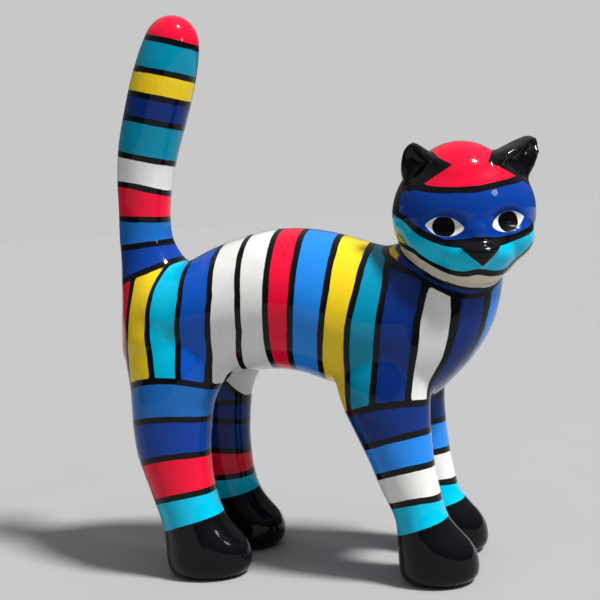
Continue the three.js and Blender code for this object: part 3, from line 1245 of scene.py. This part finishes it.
@dataclass(frozen=True)
class Lacquer:
    """Enamel stripes laid by hand, under a thick clear gloss coat."""

    name: str = "striped_lacquer"
    roughness: float = 0.24
    coat: float = 1.0
    coat_index: float = 1.28
    specular: float = 0.02
    # The eyes have a thinner coat, which thickens from the one distance to the other.
    eye_coat: float = 0.06
    eye_rim: Row = (3.0, 12.0)
    coat_roughness: float = 0.045
    edge_wobble: float = 1.2
    edge_soft: float = 0.45
    eye_wobble: float = 0.5
    pupil_wobble: float = 0.4
    # Half widths of the black seams that are drawn from a signed distance.
    seams: tuple[tuple[str, float], ...] = (("jaw", 3.2), ("cheek", 1.8))
    tint: Row = (0.90, 1.06)
    gloss: Row = (-0.06, 0.08)
    # Each noise has a scale and a detail, and each relief a height in metres.
    edge_noise: Row = (26.0, 2.0)
    brush_noise: Row = (60.0, 4.0)
    peel_noise: Row = (190.0, 2.0)
    wave_noise: Row = (11.0, 1.0)
    wave_height: float = 0.0030
    peel_height: float = 0.00010
    coat_peel_height: float = 0.00006
    ink_height: float = 0.00035

    def material(self) -> bpy.types.Material:
        """Makes the lacquer, which reads the paint and the distances from the mesh.

        Returns:
            The material.
        """
        material = bpy.data.materials.new(self.name)
        material.use_nodes = True
        tree = material.node_tree
        graph = Graph(tree)
        shader = tree.nodes["Principled BSDF"]
        shader.inputs["Coat Roughness"].default_value = self.coat_roughness
        shader.inputs["Coat IOR"].default_value = self.coat_index
        shader.inputs["Specular IOR Level"].default_value = self.specular
        place = tree.nodes.new("ShaderNodeTexCoord").outputs["Object"]
        noises = (self.edge_noise, self.brush_noise, self.peel_noise, self.wave_noise)
        wobble, brush, peel, wave = (graph.noise(place, *noise) for noise in noises)

        black = graph.field("ink")
        for name, half in self.seams:
            near = graph.maths("ABSOLUTE", graph.field(name), 0.0)
            near = graph.maths("SUBTRACT", near, half - self.edge_wobble / 2)
            black = graph.maths("MINIMUM", black, near)
        soft = self.edge_soft
        ink = graph.mask(black, wobble, self.edge_wobble, soft)
        almond = graph.mask(graph.field("almond"), wobble, self.eye_wobble, soft)
        pupil = graph.mask(graph.field("pupil"), wobble, self.pupil_wobble, soft)

        paint = tree.nodes.new("ShaderNodeAttribute")
        paint.attribute_name = "paint"
        tinted = tree.nodes.new("ShaderNodeVectorMath")
        tinted.operation = "SCALE"
        tree.links.new(paint.outputs["Color"], tinted.inputs[0])
        tree.links.new(graph.span(brush, *self.tint), tinted.inputs["Scale"])
        colour = graph.over(tinted.outputs["Vector"], ink, Paint.BLACK.value)
        colour = graph.over(colour, almond, Paint.WHITE.value)
        pupil = graph.maths("MULTIPLY", pupil, almond)
        colour = graph.over(colour, pupil, Paint.BLACK.value)
        tree.links.new(colour, shader.inputs["Base Color"])

        rim = graph.field("almond")
        coat = graph.span(rim, self.eye_coat, self.coat, *self.eye_rim)
        tree.links.new(coat, shader.inputs["Coat Weight"])
        gloss = graph.span(brush, *(self.roughness + change for change in self.gloss))
        tree.links.new(gloss, shader.inputs["Roughness"])

        bump = graph.bump(wave, self.wave_height, None)
        bump = graph.bump(peel, self.peel_height, bump)
        bump = graph.bump(ink, self.ink_height, bump)
        tree.links.new(bump, shader.inputs["Normal"])
        bump = graph.bump(wave, self.wave_height, None)
        bump = graph.bump(peel, self.coat_peel_height, bump)
        tree.links.new(bump, shader.inputs["Coat Normal"])
        return material


@dataclass
class Cat:
    """The whole sculpture, one skin over its limbs."""

    torso: Limb = field(default_factory=lambda: Limb("torso", TORSO, level=False))
    chest: Limb = field(default_factory=lambda: Limb("chest", CHEST))
    tail: Limb = field(
        default_factory=lambda: Limb("tail", TAIL, level=False, tip_rise=TAIL_TIP_RISE)
    )
    legs: tuple[Limb, ...] = (
        Limb("front_right_leg", FRONT_LEG, side=Side.RIGHT.value, swell=-0.5),
        Limb("front_left_leg", FRONT_LEG, side=Side.LEFT.value, lean=7, swell=-0.5),
        Limb("hind_right_leg", HIND_LEG, side=Side.RIGHT.value, swell=-0.5),
        Limb("hind_left_leg", HIND_LEG, side=Side.LEFT.value, step=15, lean=14, swell=-0.5),
    )
    head: Head = field(default_factory=Head)
    stripes: Stripes = field(default_factory=Stripes)
    lacquer: Lacquer = Lacquer()
    body_voxel: float = 0.009
    body_rounds: int = 14
    skin_voxel: float = 0.0061
    skin_rounds: int = 2

    def build(self) -> Shape:
        """Fuses the limbs and the head into one skin that stands flat on its soles.

        Returns:
            The cat, in place.
        """
        limbs = [limb.build() for limb in (self.torso, self.chest, self.tail, *self.legs)]
        body = fuse("body", limbs, self.body_voxel, self.body_rounds)
        parts = [body, self.head.build()]
        skin = fuse("painted_cat", parts, self.skin_voxel, self.skin_rounds)
        self.flatten_soles(skin)
        make_active(skin)
        bpy.ops.object.shade_smooth()
        return skin

    def flatten_soles(self, skin: Shape, reach: float = 0.004) -> None:
        """Presses the lowest part of the paws flat on the floor.

        Args:
            skin: The cat's skin.
            reach: How far above its lowest point it is pressed flat, in metres.
        """
        lowest = min(vertex.co.z for vertex in skin.data.vertices)
        for vertex in skin.data.vertices:
            if vertex.co.z < lowest + reach:
                vertex.co.z = 0.0

    def dress(self, skin: Shape) -> None:
        """Stores the paints and the distances on the mesh, and lays the lacquer on it.

        Args:
            skin: The cat's skin.
        """
        mesh = skin.data
        points = np.empty(len(mesh.vertices) * 3)
        mesh.vertices.foreach_get("co", points)
        fields = self.stripes.paint(self, to_pose(points.reshape(-1, 3)))
        colours = np.ones((len(mesh.vertices), 4))
        colours[:, :3] = PAINT_COLOURS[fields["numbers"]]
        paint = mesh.attributes.new("paint", "FLOAT_COLOR", "POINT")
        paint.data.foreach_set("color", colours.ravel())
        for name in ("ink", "almond", "pupil", "jaw", "cheek"):
            attribute = mesh.attributes.new(name, "FLOAT", "POINT")
            attribute.data.foreach_set("value", fields[name].astype(np.float32))
        mesh.materials.clear()
        mesh.materials.append(self.lacquer.material())
        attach(skin, "root")
        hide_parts("cat")


@dataclass
class Studio:
    """The floor, the lights and the camera."""

    floor_size: float = 300.0
    camera_place: Row = (0.6291, -2.2473, 0.8781)
    camera_turn: float = math.radians(17)
    camera_down: float = math.radians(5.13)
    camera_roll: float = math.radians(4.71)
    lens: float = 57.0
    sensor: float = 36.0
    floor_tones: Row = (0.38, 0.40)
    floor_noise: float = 3.0
    floor_roughness: float = 0.9
    sun_run: Row = (-0.53, 0.14, -0.83)
    sun_power: float = 4.5
    sun_width: float = math.radians(9)
    lamp_place: Row = (2.4, -1.15, 2.0)
    lamp_target: Row = (0.0, 0.0, 0.4)
    lamp_width: float = 0.45
    lamp_power: float = 7.0
    sky_colour: Row = (0.95, 0.975, 1.0, 1)
    sky_power: Row = (0.04, 0.46)
    backdrop: Row = (0.578, 0.578, 0.583, 1)

    def build_floor(self) -> Shape:
        """Lays a wide pale floor with a faint unevenness of tone.

        Returns:
            The floor.
        """
        deselect_all()
        bpy.ops.mesh.primitive_plane_add(size=self.floor_size, location=(0, 0, 0))
        floor = bpy.context.object
        floor.name = "floor"
        material = bpy.data.materials.new("pale_floor")
        material.use_nodes = True
        tree = material.node_tree
        shader = tree.nodes["Principled BSDF"]
        noise = tree.nodes.new("ShaderNodeTexNoise")
        noise.inputs["Scale"].default_value = self.floor_noise
        ramp = tree.nodes.new("ShaderNodeValToRGB")
        for element, tone in zip(ramp.color_ramp.elements, self.floor_tones):
            element.color = (tone, tone, tone, 1)
        place = tree.nodes.new("ShaderNodeTexCoord")
        tree.links.new(place.outputs["Object"], noise.inputs["Vector"])
        tree.links.new(noise.outputs["Fac"], ramp.inputs["Fac"])
        tree.links.new(ramp.outputs["Color"], shader.inputs["Base Color"])
        shader.inputs["Roughness"].default_value = self.floor_roughness
        shader.inputs["Specular IOR Level"].default_value = 0.0
        floor.data.materials.append(material)
        return floor

    def hang(self, data: bpy.types.Light, place: Row, run: Row) -> None:
        """Hangs a light.

        Args:
            data: The light.
            place: Where it hangs.
            run: The way that it shines.
        """
        light = bpy.data.objects.new(data.name, data)
        light.location = place
        light.rotation_euler = Vector(run).to_track_quat("-Z", "Y").to_euler()
        bpy.context.scene.collection.objects.link(light)

    def build_lights(self) -> None:
        """Hangs a high sun ahead of the cat, and a small round lamp ahead on its right."""
        sun = bpy.data.lights.new("key", "SUN")
        sun.energy = self.sun_power
        sun.angle = self.sun_width
        self.hang(sun, (0, 0, 0), self.sun_run)
        lamp = bpy.data.lights.new("glint", "AREA")
        lamp.shape = "DISK"
        lamp.size = self.lamp_width
        lamp.energy = self.lamp_power
        self.hang(lamp, self.lamp_place, Vector(self.lamp_target) - Vector(self.lamp_place))

    def build_world(self) -> None:
        """Makes a sky that lightens upwards, behind an even pale backdrop."""
        world = bpy.data.worlds.new("studio")
        world.use_nodes = True
        tree = world.node_tree
        lit = tree.nodes["Background"]
        place = tree.nodes.new("ShaderNodeTexCoord")
        split = tree.nodes.new("ShaderNodeSeparateXYZ")
        rise = tree.nodes.new("ShaderNodeMapRange")
        rise.inputs["To Min"].default_value, rise.inputs["To Max"].default_value = self.sky_power
        tree.links.new(place.outputs["Generated"], split.inputs[0])
        tree.links.new(split.outputs["Z"], rise.inputs["Value"])
        tree.links.new(rise.outputs["Result"], lit.inputs["Strength"])
        lit.inputs["Color"].default_value = self.sky_colour
        shown = tree.nodes.new("ShaderNodeBackground")
        shown.inputs["Color"].default_value = self.backdrop
        mix = tree.nodes.new("ShaderNodeMixShader")
        ray = tree.nodes.new("ShaderNodeLightPath")
        tree.links.new(ray.outputs["Is Camera Ray"], mix.inputs[0])
        tree.links.new(lit.outputs[0], mix.inputs[1])
        tree.links.new(shown.outputs[0], mix.inputs[2])
        tree.links.new(mix.outputs[0], tree.nodes["World Output"].inputs["Surface"])
        bpy.context.scene.world = world

    def build_camera(self) -> Shape:
        """Sets the camera to the cat's right, level with its head, rolled as it was held.

        Returns:
            The camera.
        """
        turn, down, roll = self.camera_turn, self.camera_down, self.camera_roll
        ahead = Vector(
            (-math.sin(turn) * math.cos(down), math.cos(turn) * math.cos(down), -math.sin(down))
        )
        level = Vector((math.cos(turn), math.sin(turn), 0))
        over = level.cross(ahead)
        right = level * math.cos(roll) - over * math.sin(roll)
        up = over * math.cos(roll) + level * math.sin(roll)
        data = bpy.data.cameras.new("camera")
        data.lens = self.lens
        data.sensor_width = self.sensor
        camera = bpy.data.objects.new("camera", data)
        basis = Matrix((right, up, -ahead)).transposed().to_4x4()
        camera.matrix_world = Matrix.Translation(self.camera_place) @ basis
        bpy.context.scene.collection.objects.link(camera)
        bpy.context.scene.camera = camera
        return camera

    def build(self) -> None:
        """Builds the camera, the floor, the lights and the backdrop."""
        self.build_camera()
        self.build_floor()
        self.build_lights()
        self.build_world()
        bpy.context.scene.view_settings.view_transform = "Standard"


def main() -> None:
    """Builds the studio and the cat, and reports each piece."""
    logging.basicConfig(level=logging.INFO, format="%(name)s: %(message)s")
    deselect_all()
    Studio().build()
    LOG.info("studio built")
    cat = Cat()
    skin = cat.build()
    cat.dress(skin)
    faces = sum(len(face.vertices) - 2 for face in skin.data.polygons)
    LOG.info("%s built with %d triangles", skin.name, faces)


if __name__ == "__main__":
    main()
